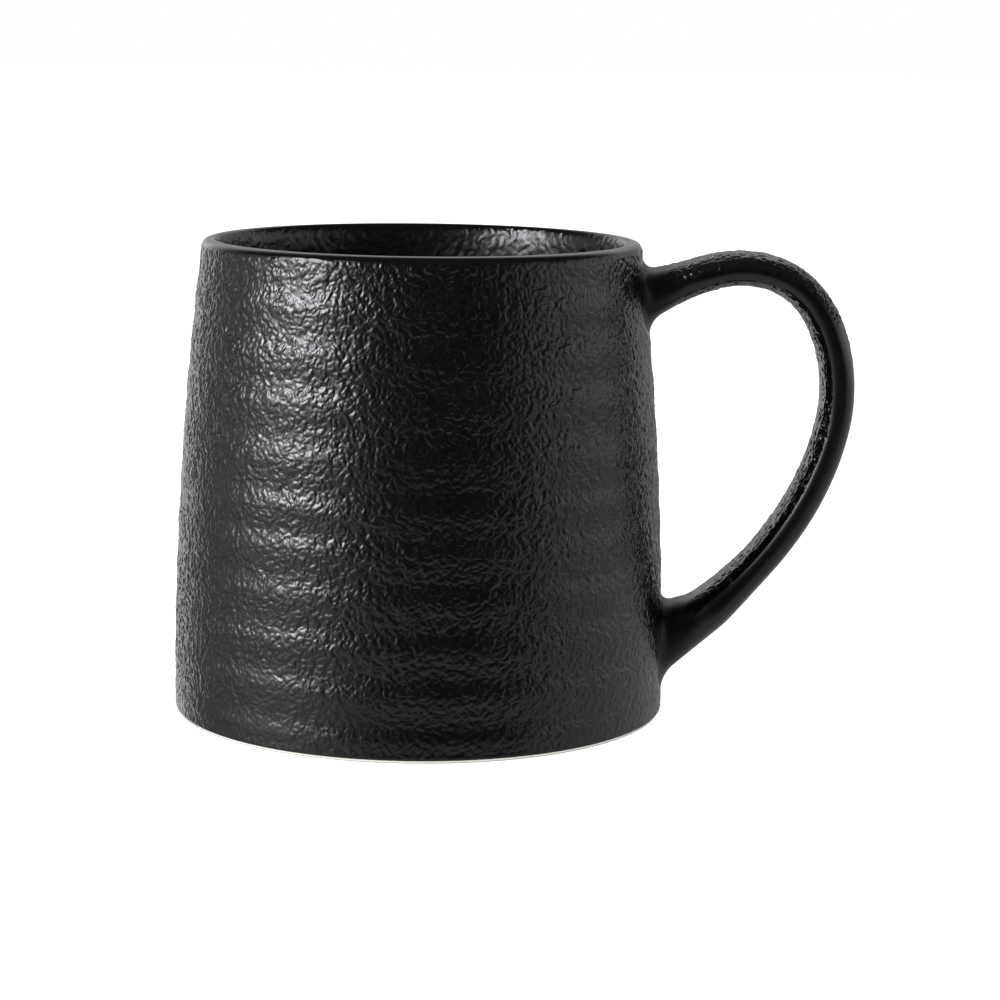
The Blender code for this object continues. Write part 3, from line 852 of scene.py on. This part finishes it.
def studio_world():
    """White behind the mug for the camera; around it, what the glaze mirrors: pale walls to
    the sides and back, a darker room on the camera's side, dimmer below than above."""
    world = bpy.data.worlds.new("studio")
    bpy.context.scene.world = world
    world.use_nodes = True
    tree = world.node_tree
    tree.nodes.clear()
    out = tree.nodes.new("ShaderNodeOutputWorld")
    seen, lit = tree.nodes.new("ShaderNodeBackground"), tree.nodes.new("ShaderNodeBackground")
    seen.inputs["Strength"].default_value = 1.0
    seen.inputs["Color"].default_value = (1, 1, 1, 1)
    part = tree.nodes.new("ShaderNodeSeparateXYZ")
    tree.links.new(tree.nodes.new("ShaderNodeTexCoord").outputs["Generated"], part.inputs[0])
    x, y, z = part.outputs
    turn = math_node(tree, "ARCTAN2", x, math_node(tree, "MULTIPLY", y, -1.0))
    around = math_node(tree, "ABSOLUTE", turn)
    side = blend(tree, around, math.radians(SIDE_FROM), math.radians(SIDE_TO))
    right = blend(tree, turn, -0.2, 0.2)
    back = blend(tree, around, math.radians(BACK_FROM), math.radians(BACK_TO))
    front_l = blend(tree, z, -0.55, -0.08, FRONT_BELOW, FRONT_ABOVE)
    side_l = mix_value(tree, right, LEFT_SIDE, blend(tree, z, -0.12, 0.10, SIDE_BELOW, SIDE_ABOVE))
    # the far left of the backdrop is dimmer, or the cup's very edge would wash out
    far = blend(tree, around, math.radians(152), math.radians(172), LEFT_BACK, LEFT_FAR)
    back_l = mix_value(tree, right, far, RIGHT_BACK)
    wall = mix_value(tree, back, mix_value(tree, side, front_l, side_l), back_l)
    # the table catches the window's light on the left
    off = math_node(tree, "DIVIDE", math_node(tree, "SUBTRACT", turn, math.radians(TABLE_AT)), math.radians(TABLE_SPREAD))
    bell = math_node(tree, "EXPONENT", math_node(tree, "MULTIPLY", math_node(tree, "MULTIPLY", off, off), -1.0))
    below = math_node(tree, "MULTIPLY", bell, blend(tree, z, -0.55, 0.02, 0.25, 1.0))
    low = math_node(tree, "ADD", wall, math_node(tree, "MULTIPLY", below, TABLE_GLOW))
    high_l = blend(tree, y, 0.35, 0.80, HIGH_FRONT, HIGH_BACK)
    mirrored = mix_value(tree, blend(tree, z, 0.17, 0.50), low, high_l)
    tree.links.new(mirrored, lit.inputs["Strength"])
    matt = tree.nodes.new("ShaderNodeBackground")
    matt.inputs["Color"].default_value = (1.0, 0.985, 0.96, 1)
    matt.inputs["Strength"].default_value = 1.1
    path = tree.nodes.new("ShaderNodeLightPath")
    by_kind, pick = tree.nodes.new("ShaderNodeMixShader"), tree.nodes.new("ShaderNodeMixShader")
    tree.links.new(path.outputs["Is Diffuse Ray"], by_kind.inputs[0])
    tree.links.new(lit.outputs[0], by_kind.inputs[1])
    tree.links.new(matt.outputs[0], by_kind.inputs[2])
    tree.links.new(path.outputs["Is Camera Ray"], pick.inputs[0])
    tree.links.new(by_kind.outputs[0], pick.inputs[1])
    tree.links.new(seen.outputs[0], pick.inputs[2])
    tree.links.new(pick.outputs[0], out.inputs["Surface"])


FRONT_ABOVE, FRONT_BELOW = 0.04, 0.60
SIDE_ABOVE, SIDE_BELOW = 1.1, 0.62
SIDE_FROM, SIDE_TO = 35, 80
LEFT_SIDE, LEFT_BACK, RIGHT_BACK = 0.32, 1.65, 0.55
LEFT_FAR = 0.6
BACK_FROM, BACK_TO = 120, 146
TABLE_AT, TABLE_SPREAD, TABLE_GLOW = -66, 30, 1.5
HIGH_FRONT, HIGH_BACK = 0.13, 1.3

stage_floor()
studio_world()
soft_light("window_left", -60, 17, 0.95, 0.74, 0.62, 1.5)
soft_light("window_heart", -62, 21, 0.94, 0.50, 0.54, 2.7)
soft_light("window_core", -61, 23, 0.93, 0.27, 0.35, 13.0)


# -------------------------------------------------------------------------- camera

CAM_X, CAM_D, CAM_Z = 15.31, 544.7, 133.06     # mm, cup frame
CAM_PITCH, CAM_ROLL = math.radians(9.688), math.radians(0.758)
CAM_FOCAL = 2877.6                              # focal length in units of 1/1000 frame width

data = bpy.data.cameras.new("camera")
data.sensor_fit = "HORIZONTAL"
data.sensor_width = 36.0
data.lens = CAM_FOCAL / 1000.0 * 36.0
data.clip_start, data.clip_end = 0.01, 50.0
camera = bpy.data.objects.new("camera", data)
c, s = math.cos(CAM_PITCH), math.sin(CAM_PITCH)
right, up, ahead = Vector((1, 0, 0)), Vector((0, s, c)), Vector((0, c, -s))
cr, sr = math.cos(CAM_ROLL), math.sin(CAM_ROLL)
cx, cy = right * cr + up * sr, -right * sr + up * cr
m = Matrix((cx, cy, -ahead)).transposed().to_4x4()
m.translation = Vector((AXIS_X + CAM_X * MM, -CAM_D * MM, CAM_Z * MM))
camera.matrix_world = m
bpy.context.scene.collection.objects.link(camera)
bpy.context.scene.camera = camera

bpy.context.scene.view_settings.view_transform = "Standard"
bpy.context.scene.view_settings.look = "None"
